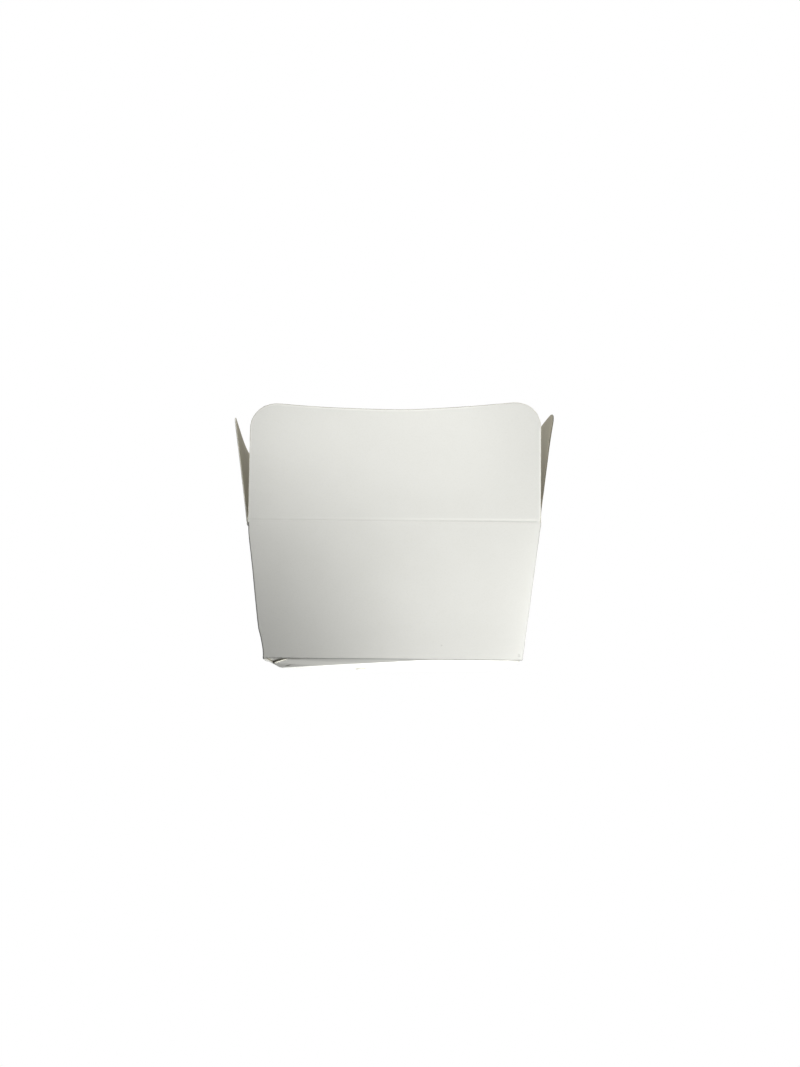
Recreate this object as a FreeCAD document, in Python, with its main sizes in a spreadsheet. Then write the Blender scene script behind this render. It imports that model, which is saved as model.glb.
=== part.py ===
import FreeCAD, Part
import Sketcher
import math
import os

# Small open-topped folding carton for sweets: a tapered tray folded from one
# die-cut blank, with an auto-lock base and four closing flaps.
# Millimetres, +Z up, origin at the middle of the underside.
# +X runs along the long side, -Y is the front.

V = FreeCAD.Vector
doc = FreeCAD.newDocument("sweet_carton")

# ---------------------------------------------------------------- dimensions
sheet = doc.addObject("Spreadsheet::Sheet", "Dims")
dims = [
    ("board", 0.5),            # board caliper
    ("top_width", 126.4),      # outside width at the long-flap creases (X)
    ("top_depth", 76.2),       # outside depth at the long-flap creases (Y)
    ("base_width", 109.4),     # outside width at the foot (X)
    ("base_depth", 59.2),      # outside depth at the foot (Y)
    ("wall_rise", 57.9),       # foot to the long-flap crease, vertical
    ("side_drop", 0.8),        # side-flap crease below the long-flap crease
    ("crease_gap", 0.4),       # crease centre line to the top of the wall
    ("fold_round", 0.6),       # outer radius of the upright and foot folds
    ("long_width", 125.0),     # front and rear flap, along the crease
    ("long_side", 40.4),       # straight part of their side edges
    ("ear_round", 11.3),       # radius of their ears
    ("dip_round", 485.0),      # radius of the shallow dip between the ears
    ("side_width", 73.8),      # side flap, along the crease
    ("side_reach", 52.0),      # side flap, crease to free edge
    ("side_round", 6.0),       # radius of its corners
    ("lock_front", 10.8),      # base lock: corner cut along the front fold
    ("lock_side", 27.0),       # base lock: corner cut along the side fold
    ("lock_far", 73.2),        # base lock: where its free edge meets the front fold
    ("lock_back", 49.3),       # base lock: where its free edge meets the side fold
    ("minor_reach", 31.0),     # inner end flaps of the base
    ("minor_relief", 3.0),     # relief beside their folds
    ("minor_taper", 7.5),      # narrowing of their free end, each side
    ("slit_width", 0.3),       # line where the two halves of the base meet
    ("slit_depth", 0.3),
    ("seam_width", 12.0),      # glue seam at the rear left upright fold
    ("seam_relief", 2.0),      # slant of its two ends
]
for row, (alias, value) in enumerate(dims, start=1):
    sheet.set("A%d" % row, alias)
    sheet.set("B%d" % row, str(value))
    sheet.setAlias("B%d" % row, alias)
doc.recompute()
D = {alias: float(value) for alias, value in dims}

# Expressions used in several places.
LEAN = "atan((Dims.top_width - Dims.base_width) / 2 / Dims.wall_rise)"
SLOPE = "((Dims.top_width - Dims.base_width) / 2 / Dims.wall_rise)"
SKIN = "(Dims.board / cos(" + LEAN + "))"          # board measured level
WALL_TOP = "(Dims.wall_rise - Dims.crease_gap)"
SIDE_TOP = "(Dims.wall_rise - Dims.side_drop - Dims.crease_gap)"
slope = (D["top_width"] - D["base_width"]) / 2.0 / D["wall_rise"]
lean = math.atan(slope)
skin = D["board"] / math.cos(lean)


def plane_of(body, role):
    for feature in body.Origin.OriginFeatures:
        if feature.Role == role:
            return feature
    raise RuntimeError("no plane " + role)


def new_sketch(body, name, role, height=None):
    sk = body.newObject("Sketcher::SketchObject", name)
    sk.AttachmentSupport = [(plane_of(body, role), "")]
    sk.MapMode = "FlatFace"
    if height:
        sk.setExpression("AttachmentOffset.Base.z", height)
        doc.recompute()
    return sk


def rectangle(sk, wide, deep, w0, d0):
    """Rectangle centred on the sketch's origin, sized by two expressions."""
    x, y = w0 / 2.0, d0 / 2.0
    pts = [V(-x, -y, 0), V(x, -y, 0), V(x, y, 0), V(-x, y, 0)]
    g = [sk.addGeometry(Part.LineSegment(pts[i], pts[(i + 1) % 4]), False) for i in range(4)]
    for i in range(4):
        sk.addConstraint(Sketcher.Constraint("Coincident", g[i], 2, g[(i + 1) % 4], 1))
    sk.addConstraint(Sketcher.Constraint("Horizontal", g[0]))
    sk.addConstraint(Sketcher.Constraint("Vertical", g[1]))
    sk.addConstraint(Sketcher.Constraint("Horizontal", g[2]))
    sk.addConstraint(Sketcher.Constraint("Vertical", g[3]))
    sk.addConstraint(Sketcher.Constraint("Symmetric", g[0], 1, g[1], 2, -1, 1))
    a = sk.addConstraint(Sketcher.Constraint("DistanceX", g[0], 1, g[0], 2, w0))
    sk.renameConstraint(a, "wide")
    b = sk.addConstraint(Sketcher.Constraint("DistanceY", g[1], 1, g[1], 2, d0))
    sk.renameConstraint(b, "deep")
    sk.setExpression("Constraints.wide", wide)
    sk.setExpression("Constraints.deep", deep)
    return g


def polygon(sk, corners):
    """Closed polygon; each corner is (x0, y0, x expression, y expression)."""
    pts = [V(c[0], c[1], 0) for c in corners]
    n = len(pts)
    g = [sk.addGeometry(Part.LineSegment(pts[i], pts[(i + 1) % n]), False) for i in range(n)]
    for i in range(n):
        sk.addConstraint(Sketcher.Constraint("Coincident", g[i], 2, g[(i + 1) % n], 1))
    for i, c in enumerate(corners):
        a = sk.addConstraint(Sketcher.Constraint("DistanceX", -1, 1, g[i], 1, c[0]))
        tag = "x%d_%d" % (g[0], i)
        sk.renameConstraint(a, tag)
        sk.setExpression("Constraints." + tag, c[2])
        b = sk.addConstraint(Sketcher.Constraint("DistanceY", -1, 1, g[i], 1, c[1]))
        tag = "y%d_%d" % (g[0], i)
        sk.renameConstraint(b, tag)
        sk.setExpression("Constraints." + tag, c[3])
    return g


# ---------------------------------------------------------------- the tray
tray = doc.addObject("PartDesign::Body", "box_body")
tray.Label = "box_body"

# Outer form: four walls leaning out from the foot to the wall tops.
foot = new_sketch(tray, "foot_outline", "XY_Plane")
rectangle(foot, "Dims.base_width", "Dims.base_depth", D["base_width"], D["base_depth"])
doc.recompute()
rise = D["wall_rise"] - D["crease_gap"]
outer = tray.newObject("PartDesign::Pad", "outer_form")
outer.Profile = foot
outer.Type = "Length"
outer.setExpression("Length", WALL_TOP)
outer.setExpression("TaperAngle", LEAN)
doc.recompute()
top_edge = D["base_width"] + 2 * slope * rise
assert abs(outer.Shape.BoundBox.XLength - top_edge) < 0.01

# Upright folds and foot folds are rounded outside.
chosen = []
for i, edge in enumerate(outer.Shape.Edges, start=1):
    tall = edge.BoundBox.ZMax - edge.BoundBox.ZMin > 10
    low = edge.BoundBox.ZMax < 1e-4
    if tall or low:
        chosen.append("Edge%d" % i)
folds = tray.newObject("PartDesign::Fillet", "folds")
folds.Base = (outer, chosen)
folds.setExpression("Radius", "Dims.fold_round")
doc.recompute()

# Inside space, from the top of the base up through the rim.
FLOOR = "(2 * Dims.board)"
in_low = new_sketch(tray, "inside_low", "XY_Plane", FLOOR)
floor = 2 * D["board"]
rectangle(in_low, "Dims.base_width + 2 * " + SLOPE + " * " + FLOOR + " - 2 * " + SKIN,
          "Dims.base_depth + 2 * " + SLOPE + " * " + FLOOR + " - 2 * " + SKIN,
          D["base_width"] + 2 * slope * floor - 2 * skin,
          D["base_depth"] + 2 * slope * floor - 2 * skin)
doc.recompute()
before = folds.Shape.Volume
inner = tray.newObject("PartDesign::Pocket", "inside_space")
inner.Profile = in_low
inner.Type = "Length"
inner.setExpression("Length", "Dims.wall_rise + 2")
inner.setExpression("TaperAngle", LEAN)
inner.Reversed = True
doc.recompute()
assert 1000 < inner.Shape.Volume < 0.2 * before

# The end walls stop lower, so that the end flaps close under the long ones.
drop = new_sketch(tray, "end_wall_tops", "XY_Plane", SIDE_TOP)
span = D["base_depth"] + 2 * slope * (D["wall_rise"] - D["side_drop"] - D["crease_gap"]) - 2 * skin
span_text = "(Dims.base_depth + 2 * " + SLOPE + " * " + SIDE_TOP + " - 2 * " + SKIN + ")"
for sign in (-1, 1):
    xin, xout = sign * D["base_width"] / 2.0, sign * (D["top_width"] / 2.0 + 3)
    tin = "%d * Dims.base_width / 2" % sign
    tout = "%d * (Dims.top_width / 2 + 3)" % sign
    polygon(drop, [
        (xin, -span / 2, tin, "-1 * " + span_text + " / 2"),
        (xout, -span / 2, tout, "-1 * " + span_text + " / 2"),
        (xout, span / 2, tout, span_text + " / 2"),
        (xin, span / 2, tin, span_text + " / 2"),
    ])
doc.recompute()
before = tray.Shape.Volume
ends = tray.newObject("PartDesign::Pocket", "end_wall_relief")
ends.Profile = drop
ends.Type = "Length"
ends.Length = 5
ends.Reversed = True
doc.recompute()
assert ends.Shape.Volume < before - 10

# Underside of the auto-lock base. Two glued halves, turned half a turn from
# one another, form the outer layer; everywhere else the layer above shows.
hw, hd = D["base_width"] / 2.0, D["base_depth"] / 2.0
under = new_sketch(tray, "base_relief", "XY_Plane")
rectangle(under, "Dims.base_width + 6", "Dims.base_depth + 6",
          D["base_width"] + 6, D["base_depth"] + 6)
for sign in (-1, 1):
    left = "%d * " % sign
    corners = [
        (hw + 2, hd - D["lock_side"], "(Dims.base_width / 2 + 2)", "(Dims.base_depth / 2 - Dims.lock_side)"),
        (hw - 0.2, hd - D["lock_side"], "(Dims.base_width / 2 - 0.2)", "(Dims.base_depth / 2 - Dims.lock_side)"),
        (hw - D["lock_front"], hd - 0.2, "(Dims.base_width / 2 - Dims.lock_front)", "(Dims.base_depth / 2 - 0.2)"),
        (hw - D["lock_front"], hd + 2, "(Dims.base_width / 2 - Dims.lock_front)", "(Dims.base_depth / 2 + 2)"),
        (hw - D["lock_far"], hd + 2, "(Dims.base_width / 2 - Dims.lock_far)", "(Dims.base_depth / 2 + 2)"),
        (hw - D["lock_far"], hd - 0.2, "(Dims.base_width / 2 - Dims.lock_far)", "(Dims.base_depth / 2 - 0.2)"),
        (hw - 0.2, hd - D["lock_back"], "(Dims.base_width / 2 - 0.2)", "(Dims.base_depth / 2 - Dims.lock_back)"),
        (hw + 2, hd - D["lock_back"], "(Dims.base_width / 2 + 2)", "(Dims.base_depth / 2 - Dims.lock_back)"),
    ]
    polygon(under, [(sign * x, sign * y, left + xt, left + yt) for x, y, xt, yt in corners])
doc.recompute()
before = tray.Shape.Volume
relief = tray.newObject("PartDesign::Pocket", "base_layers")
relief.Profile = under
relief.Type = "Length"
relief.setExpression("Length", "Dims.board")
relief.Reversed = True
doc.recompute()
assert relief.Shape.Volume < before - 500

# Inner end flaps of the base, folded in from the two end walls.
minor = new_sketch(tray, "minor_outline", "XY_Plane", FLOOR)
ihw = hw - 0.25
ihd = hd - skin + slope * floor
for sign in (-1, 1):
    s_ = "%d * " % sign
    a = "(Dims.base_width / 2 - 0.25)"
    b = "(Dims.base_depth / 2 - " + SKIN + " + " + SLOPE + " * " + FLOOR + " - Dims.minor_relief * 0.2)"
    c = "(Dims.base_width / 2 - Dims.minor_relief)"
    e = "(Dims.base_width / 2 - Dims.minor_reach)"
    f = "(Dims.base_depth / 2 - Dims.minor_taper)"
    bn = ihd - D["minor_relief"] * 0.2
    en = hw - D["minor_reach"]
    fn = hd - D["minor_taper"]
    polygon(minor, [
        (sign * ihw, -bn, s_ + a, "-1 * " + b),
        (sign * en, -fn, s_ + e, "-1 * " + f),
        (sign * en, fn, s_ + e, f),
        (sign * ihw, bn, s_ + a, b),
    ])
doc.recompute()
before = tray.Shape.Volume
minors = tray.newObject("PartDesign::Pad", "minor_flaps")
minors.Profile = minor
minors.Type = "Length"
minors.setExpression("Length", "Dims.board")
doc.recompute()
assert minors.Shape.Volume > before + 500

# Line where the two hooked halves meet, seen between the inner end flaps.
slit = new_sketch(tray, "lock_line", "XY_Plane", FLOOR)
half = "Dims.slit_width / 2"
hv = D["slit_width"] / 2
zig = [(-22.5, 0.0), (-9.0, 0.0), (-6.0, 5.0), (6.0, -5.0), (9.0, 0.0), (22.5, 0.0)]
up = [(x, y + hv, "%.3f" % x, "%.3f + " % y + half) for x, y in zig]
down = [(x, y - hv, "%.3f" % x, "%.3f - " % y + half) for x, y in reversed(zig)]
polygon(slit, up + down)
doc.recompute()
before = tray.Shape.Volume
line = tray.newObject("PartDesign::Pocket", "lock_slit")
line.Profile = slit
line.Type = "Length"
line.setExpression("Length", "Dims.slit_depth")
doc.recompute()
assert line.Shape.Volume < before - 1

# Glue seam: a strip of the rear wall turned in against the left wall.
seam_low = new_sketch(tray, "seam_low", "XY_Plane", "3 * Dims.board + Dims.seam_relief")
seam_high = new_sketch(tray, "seam_high", "XY_Plane", SIDE_TOP + " - Dims.seam_relief")
for sk, z, ztext in ((seam_low, 3 * D["board"] + D["seam_relief"], "(3 * Dims.board + Dims.seam_relief)"),
                     (seam_high, D["wall_rise"] - D["side_drop"] - D["crease_gap"] - D["seam_relief"],
                      "(" + SIDE_TOP + " - Dims.seam_relief)")):
    xo = -(hw + slope * z - skin / 2)
    xi = -(hw + slope * z - 2 * skin)
    yo = hd + slope * z - skin / 2
    yi = hd + slope * z - skin - D["seam_width"]
    xot = "-1 * (Dims.base_width / 2 + " + SLOPE + " * " + ztext + " - " + SKIN + " / 2)"
    xit = "-1 * (Dims.base_width / 2 + " + SLOPE + " * " + ztext + " - 2 * " + SKIN + ")"
    yot = "Dims.base_depth / 2 + " + SLOPE + " * " + ztext + " - " + SKIN + " / 2"
    yit = "Dims.base_depth / 2 + " + SLOPE + " * " + ztext + " - " + SKIN + " - Dims.seam_width"
    polygon(sk, [(xo, yi, xot, yit), (xi, yi, xit, yit), (xi, yo, xit, yot), (xo, yo, xot, yot)])
doc.recompute()
before = tray.Shape.Volume
seam = tray.newObject("PartDesign::AdditiveLoft", "glue_seam")
seam.Profile = seam_low
seam.Sections = [seam_high]
seam.Ruled = True
doc.recompute()
assert seam.Shape.Volume > before + 100
tray.Tip = seam
doc.recompute()


# ---------------------------------------------------------------- the flaps
def slab(body, name, role, reach, width):
    """Board standing up from its crease, with a round root on the crease line."""
    sk = new_sketch(body, name + "_section", role)
    r = D["board"] / 2
    y = value_of(reach)
    left = sk.addGeometry(Part.LineSegment(V(-r, y, 0), V(-r, 0, 0)), False)
    root = sk.addGeometry(Part.ArcOfCircle(Part.Circle(V(0, 0, 0), V(0, 0, 1), r), math.pi, 2 * math.pi), False)
    right = sk.addGeometry(Part.LineSegment(V(r, 0, 0), V(r, y, 0)), False)
    top = sk.addGeometry(Part.LineSegment(V(r, y, 0), V(-r, y, 0)), False)
    sk.addConstraint(Sketcher.Constraint("Coincident", root, 3, -1, 1))
    sk.addConstraint(Sketcher.Constraint("Coincident", left, 2, root, 1))
    sk.addConstraint(Sketcher.Constraint("Coincident", root, 2, right, 1))
    sk.addConstraint(Sketcher.Constraint("Coincident", right, 2, top, 1))
    sk.addConstraint(Sketcher.Constraint("Coincident", top, 2, left, 1))
    sk.addConstraint(Sketcher.Constraint("Vertical", left))
    sk.addConstraint(Sketcher.Constraint("Vertical", right))
    sk.addConstraint(Sketcher.Constraint("Horizontal", top))
    sk.addConstraint(Sketcher.Constraint("PointOnObject", right, 1, -1))
    a = sk.addConstraint(Sketcher.Constraint("Radius", root, r))
    sk.renameConstraint(a, "half_board")
    sk.setExpression("Constraints.half_board", "Dims.board / 2")
    b = sk.addConstraint(Sketcher.Constraint("DistanceY", right, 1, right, 2, y))
    sk.renameConstraint(b, "reach")
    sk.setExpression("Constraints.reach", reach)
    doc.recompute()
    pad = body.newObject("PartDesign::Pad", name + "_board")
    pad.Profile = sk
    pad.Type = "Length"
    pad.SideType = "Symmetric"
    pad.setExpression("Length", width)
    doc.recompute()
    return pad


def value_of(text):
    names = {alias: D[alias] for alias in D}
    total = 0.0
    for term in text.split("+"):
        term = term.strip()
        if term.startswith("Dims."):
            total += names[term[5:]]
        else:
            total += float(term)
    return total


def trim(body, name, sk, pad):
    before = pad.Shape.Volume
    cut = body.newObject("PartDesign::Pocket", name + "_outline_cut")
    cut.Profile = sk
    cut.Type = "Length"
    cut.SideType = "Symmetric"
    cut.Length = 4
    doc.recompute()
    assert cut.Shape.Volume < before - 1
    body.Tip = cut
    doc.recompute()
    return cut


def chain(sk, g, closed=True):
    n = len(g)
    for i in range(n if closed else n - 1):
        sk.addConstraint(Sketcher.Constraint("Coincident", g[i][0], g[i][2], g[(i + 1) % n][0], g[(i + 1) % n][1]))


def long_outline(body, name, role):
    """Waste above a long flap: round ears and the shallow dip between them."""
    sk = new_sketch(body, name + "_outline", role)
    w, s, r, R = D["long_width"] / 2, D["long_side"], D["ear_round"], D["dip_round"]
    # centre of the dip's arc above the ears, tangent to both ear arcs
    cx = w - r
    k = R + r
    cy = s + math.sqrt(k * k - cx * cx)
    ux, uy = cx / k, (s - cy) / k
    jx, jy = cx - ux * r, s - uy * r
    over = s + r + 2
    ang = math.atan2(-uy, -ux)
    left_ear = sk.addGeometry(Part.ArcOfCircle(Part.Circle(V(-cx, s, 0), V(0, 0, 1), r),
                                               math.pi - ang, math.pi), False)
    right_ear = sk.addGeometry(Part.ArcOfCircle(Part.Circle(V(cx, s, 0), V(0, 0, 1), r), 0, ang), False)
    a0 = math.atan2(jy - cy, -jx)
    a1 = math.atan2(jy - cy, jx)
    dip = sk.addGeometry(Part.ArcOfCircle(Part.Circle(V(0, cy, 0), V(0, 0, 1), R), a0, a1), False)
    out_r = sk.addGeometry(Part.LineSegment(V(w, s, 0), V(w + 2, s, 0)), False)
    up_r = sk.addGeometry(Part.LineSegment(V(w + 2, s, 0), V(w + 2, over, 0)), False)
    across = sk.addGeometry(Part.LineSegment(V(w + 2, over, 0), V(-w - 2, over, 0)), False)
    up_l = sk.addGeometry(Part.LineSegment(V(-w - 2, over, 0), V(-w - 2, s, 0)), False)
    out_l = sk.addGeometry(Part.LineSegment(V(-w - 2, s, 0), V(-w, s, 0)), False)
    add = sk.addConstraint
    C = Sketcher.Constraint
    add(C("Tangent", left_ear, 1, dip, 1))
    add(C("Tangent", dip, 2, right_ear, 2))
    add(C("Coincident", right_ear, 1, out_r, 1))
    add(C("Coincident", out_r, 2, up_r, 1))
    add(C("Coincident", up_r, 2, across, 1))
    add(C("Coincident", across, 2, up_l, 1))
    add(C("Coincident", up_l, 2, out_l, 1))
    add(C("Coincident", out_l, 2, left_ear, 2))
    add(C("Horizontal", out_r))
    add(C("Vertical", up_r))
    add(C("Horizontal", across))
    add(C("Vertical", up_l))
    add(C("Horizontal", out_l))
    add(C("Horizontal", right_ear, 3, right_ear, 1))
    add(C("Horizontal", left_ear, 3, left_ear, 2))
    add(C("Symmetric", out_r, 1, out_l, 2, -2))
    add(C("Equal", left_ear, right_ear))
    add(C("Equal", out_r, out_l))
    for tag, con, expr in (
            ("wide", C("DistanceX", out_l, 2, out_r, 1, 2 * w), "Dims.long_width"),
            ("straight", C("DistanceY", -1, 1, out_r, 1, s), "Dims.long_side"),
            ("ear", C("Radius", right_ear, r), "Dims.ear_round"),
            ("dip", C("Radius", dip, R), "Dims.dip_round"),
            ("margin", C("DistanceX", out_r, 1, out_r, 2, 2), "2"),
            ("waste", C("DistanceY", up_r, 1, up_r, 2, r + 2), "Dims.ear_round + 2")):
        i = add(con)
        sk.renameConstraint(i, tag)
        sk.setExpression("Constraints." + tag, expr)
    doc.recompute()
    return sk


def side_outline(body, name, role):
    """Waste above a side flap: two round corners on a straight free edge."""
    sk = new_sketch(body, name + "_outline", role)
    w, r = D["side_width"] / 2, D["side_round"]
    s = D["side_reach"] - r
    over = D["side_reach"] + 2
    left = sk.addGeometry(Part.ArcOfCircle(Part.Circle(V(-w + r, s, 0), V(0, 0, 1), r), math.pi / 2, math.pi), False)
    free = sk.addGeometry(Part.LineSegment(V(-w + r, s + r, 0), V(w - r, s + r, 0)), False)
    right = sk.addGeometry(Part.ArcOfCircle(Part.Circle(V(w - r, s, 0), V(0, 0, 1), r), 0, math.pi / 2), False)
    out_r = sk.addGeometry(Part.LineSegment(V(w, s, 0), V(w + 2, s, 0)), False)
    up_r = sk.addGeometry(Part.LineSegment(V(w + 2, s, 0), V(w + 2, over, 0)), False)
    across = sk.addGeometry(Part.LineSegment(V(w + 2, over, 0), V(-w - 2, over, 0)), False)
    up_l = sk.addGeometry(Part.LineSegment(V(-w - 2, over, 0), V(-w - 2, s, 0)), False)
    out_l = sk.addGeometry(Part.LineSegment(V(-w - 2, s, 0), V(-w, s, 0)), False)
    add = sk.addConstraint
    C = Sketcher.Constraint
    add(C("Tangent", left, 1, free, 1))
    add(C("Tangent", free, 2, right, 2))
    add(C("Coincident", right, 1, out_r, 1))
    add(C("Coincident", out_r, 2, up_r, 1))
    add(C("Coincident", up_r, 2, across, 1))
    add(C("Coincident", across, 2, up_l, 1))
    add(C("Coincident", up_l, 2, out_l, 1))
    add(C("Coincident", out_l, 2, left, 2))
    add(C("Horizontal", free))
    add(C("Horizontal", out_r))
    add(C("Vertical", up_r))
    add(C("Horizontal", across))
    add(C("Vertical", up_l))
    add(C("Horizontal", out_l))
    add(C("Horizontal", right, 3, right, 1))
    add(C("Symmetric", out_r, 1, out_l, 2, -2))
    add(C("Equal", left, right))
    add(C("Equal", out_r, out_l))
    for tag, con, expr in (
            ("wide", C("DistanceX", out_l, 2, out_r, 1, 2 * w), "Dims.side_width"),
            ("reach", C("DistanceY", -1, 1, free, 1, D["side_reach"]), "Dims.side_reach"),
            ("corner", C("Radius", right, r), "Dims.side_round"),
            ("margin", C("DistanceX", out_r, 1, out_r, 2, 2), "2"),
            ("waste", C("DistanceY", up_r, 1, up_r, 2, r + 2), "Dims.side_round + 2")):
        i = add(con)
        sk.renameConstraint(i, tag)
        sk.setExpression("Constraints." + tag, expr)
    doc.recompute()
    return sk


def place(body, axis, angle, angle_text, base, base_text):
    """Lean the flap in line with its wall and set its root on the crease."""
    body.Placement = FreeCAD.Placement(base, FreeCAD.Rotation(axis, math.degrees(angle)))
    body.setExpression("Placement.Base.x", base_text[0])
    body.setExpression("Placement.Base.y", base_text[1])
    body.setExpression("Placement.Base.z", base_text[2])
    body.setExpression("Placement.Rotation.Angle", angle_text)
    doc.recompute()


flaps = []
for name, sign in (("front_flap", -1), ("rear_flap", 1)):
    body = doc.addObject("PartDesign::Body", name)
    body.Label = name
    pad = slab(body, name, "YZ_Plane", "Dims.long_side + Dims.ear_round + 1", "Dims.long_width")
    trim(body, name, long_outline(body, name, "XZ_Plane"), pad)
    y = sign * (D["top_depth"] / 2 - skin / 2)
    place(body, V(-sign, 0, 0), lean, LEAN, V(0, y, D["wall_rise"]),
          ("0", "%d * (Dims.top_depth / 2 - %s / 2)" % (sign, SKIN), "Dims.wall_rise"))
    flaps.append(body)

for name, sign in (("left_side_flap", -1), ("right_side_flap", 1)):
    body = doc.addObject("PartDesign::Body", name)
    body.Label = name
    pad = slab(body, name, "XZ_Plane", "Dims.side_reach + 1", "Dims.side_width")
    trim(body, name, side_outline(body, name, "YZ_Plane"), pad)
    x = sign * (D["top_width"] / 2 - slope * D["side_drop"] - skin / 2)
    place(body, V(0, sign, 0), lean, LEAN, V(x, 0, D["wall_rise"] - D["side_drop"]),
          ("%d * (Dims.top_width / 2 - %s * Dims.side_drop - %s / 2)" % (sign, SLOPE, SKIN), "0",
           "Dims.wall_rise - Dims.side_drop"))
    flaps.append(body)

# ---------------------------------------------------------------- check, write
doc.recompute()
for obj in doc.Objects:
    bad = [word for word in obj.State if word in ("Invalid", "Error")]
    if bad:
        raise RuntimeError("%s failed: %s" % (obj.Name, bad))
parts = [tray] + flaps
for body in parts:
    shape = body.Shape
    if shape.isNull() or not shape.isValid() or len(shape.Solids) != 1:
        raise RuntimeError("%s has no single valid solid" % body.Label)
os.makedirs("parts", exist_ok=True)
for body in parts:
    body.Shape.exportStep("parts/" + body.Label + ".step")
    box = body.Shape.BoundBox
    print("%-16s volume %9.2f  x %.2f %.2f  y %.2f %.2f  z %.2f %.2f" % (
        body.Label, body.Shape.Volume, box.XMin, box.XMax, box.YMin, box.YMax, box.ZMin, box.ZMax))
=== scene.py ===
import math

import bmesh
import bpy
import numpy as np
from mathutils import Matrix, Vector


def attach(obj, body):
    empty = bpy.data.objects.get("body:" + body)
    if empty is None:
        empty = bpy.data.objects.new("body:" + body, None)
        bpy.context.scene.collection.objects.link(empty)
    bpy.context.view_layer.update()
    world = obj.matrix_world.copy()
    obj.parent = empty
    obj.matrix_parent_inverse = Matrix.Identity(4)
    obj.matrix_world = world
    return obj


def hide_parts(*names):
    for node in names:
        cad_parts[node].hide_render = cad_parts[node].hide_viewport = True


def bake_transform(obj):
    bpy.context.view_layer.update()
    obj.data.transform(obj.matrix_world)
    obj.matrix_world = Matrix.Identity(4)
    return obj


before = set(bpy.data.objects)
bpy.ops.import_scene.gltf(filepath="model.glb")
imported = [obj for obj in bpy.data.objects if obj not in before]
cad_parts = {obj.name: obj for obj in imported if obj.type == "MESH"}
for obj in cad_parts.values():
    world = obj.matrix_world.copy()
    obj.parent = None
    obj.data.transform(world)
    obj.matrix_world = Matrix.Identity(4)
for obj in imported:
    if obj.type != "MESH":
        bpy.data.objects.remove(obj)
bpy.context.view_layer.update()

# ------------------------------------------------------------------ sizes, mm
T = 0.5                                   # board
SLOPE = (126.4 - 109.4) / 2 / 57.9        # lean of every wall
LEAN = math.atan(SLOPE)
SKIN = T / math.cos(LEAN)
CO, SI = math.cos(LEAN), math.sin(LEAN)
Z_LONG, Z_SIDE = 57.9, 57.1               # crease heights
FOLD = 0.6                                # outer radius of the folds
STRIP = 1.0                               # flap pieces start this far below their crease
OUT, EDGE, INN = 0, 1, 2                  # material slots: outer face, cut edge, inner face


def half_w(z):
    return 54.7 + SLOPE * z


def half_d(z):
    return 29.6 + SLOPE * z


def curve(x, points):
    """Smooth line through a few points."""
    xs_, ys_ = [p[0] for p in points], [p[1] for p in points]
    x = min(max(x, xs_[0]), xs_[-1])
    k = max(i for i in range(len(xs_) - 1) if xs_[i] <= x)
    k = min(k, len(xs_) - 2)

    def slope(i):
        a, b = max(i - 1, 0), min(i + 1, len(xs_) - 1)
        return (ys_[b] - ys_[a]) / (xs_[b] - xs_[a])
    h = xs_[k + 1] - xs_[k]
    t = (x - xs_[k]) / h
    return (ys_[k] * (2 * t ** 3 - 3 * t ** 2 + 1) + slope(k) * h * (t ** 3 - 2 * t ** 2 + t)
            + ys_[k + 1] * (3 * t ** 2 - 2 * t ** 3) + slope(k + 1) * h * (t ** 3 - t ** 2))


# ------------------------------------------------------------------ materials
def nodes_of(mat):
    mat.use_nodes = True
    nt = mat.node_tree
    nt.nodes.clear()
    out = nt.nodes.new("ShaderNodeOutputMaterial")
    bsdf = nt.nodes.new("ShaderNodeBsdfPrincipled")
    nt.links.new(bsdf.outputs["BSDF"], out.inputs["Surface"])
    return nt, bsdf


def noise(nt, coord, scale, detail=4.0, rough=0.55, stretch=None):
    n = nt.nodes.new("ShaderNodeTexNoise")
    n.inputs["Scale"].default_value = scale
    n.inputs["Detail"].default_value = detail
    n.inputs["Roughness"].default_value = rough
    if stretch:
        m = nt.nodes.new("ShaderNodeMapping")
        m.inputs["Scale"].default_value = stretch
        nt.links.new(coord, m.inputs["Vector"])
        nt.links.new(m.outputs["Vector"], n.inputs["Vector"])
    else:
        nt.links.new(coord, n.inputs["Vector"])
    return n.outputs["Fac"]


def ramp(nt, fac, a, b, lo=0.35, hi=0.65):
    r = nt.nodes.new("ShaderNodeValToRGB")
    r.color_ramp.elements[0].position = lo
    r.color_ramp.elements[0].color = (*a, 1)
    r.color_ramp.elements[1].position = hi
    r.color_ramp.elements[1].color = (*b, 1)
    nt.links.new(fac, r.inputs["Fac"])
    return r.outputs["Color"]


def mixed(nt, fac, a, b, mode="MIX"):
    m = nt.nodes.new("ShaderNodeMix")
    m.data_type = "RGBA"
    m.blend_type = mode
    if isinstance(fac, float):
        m.inputs[0].default_value = fac
    else:
        nt.links.new(fac, m.inputs[0])
    nt.links.new(a, m.inputs[6])
    if isinstance(b, tuple):
        m.inputs[7].default_value = (*b, 1)
    else:
        nt.links.new(b, m.inputs[7])
    return m.outputs[2]


def math_node(nt, op, a, b):
    m = nt.nodes.new("ShaderNodeMath")
    m.operation = op
    for i, v in enumerate((a, b)):
        if isinstance(v, (int, float)):
            m.inputs[i].default_value = v
        else:
            nt.links.new(v, m.inputs[i])
    return m.outputs[0]


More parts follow.
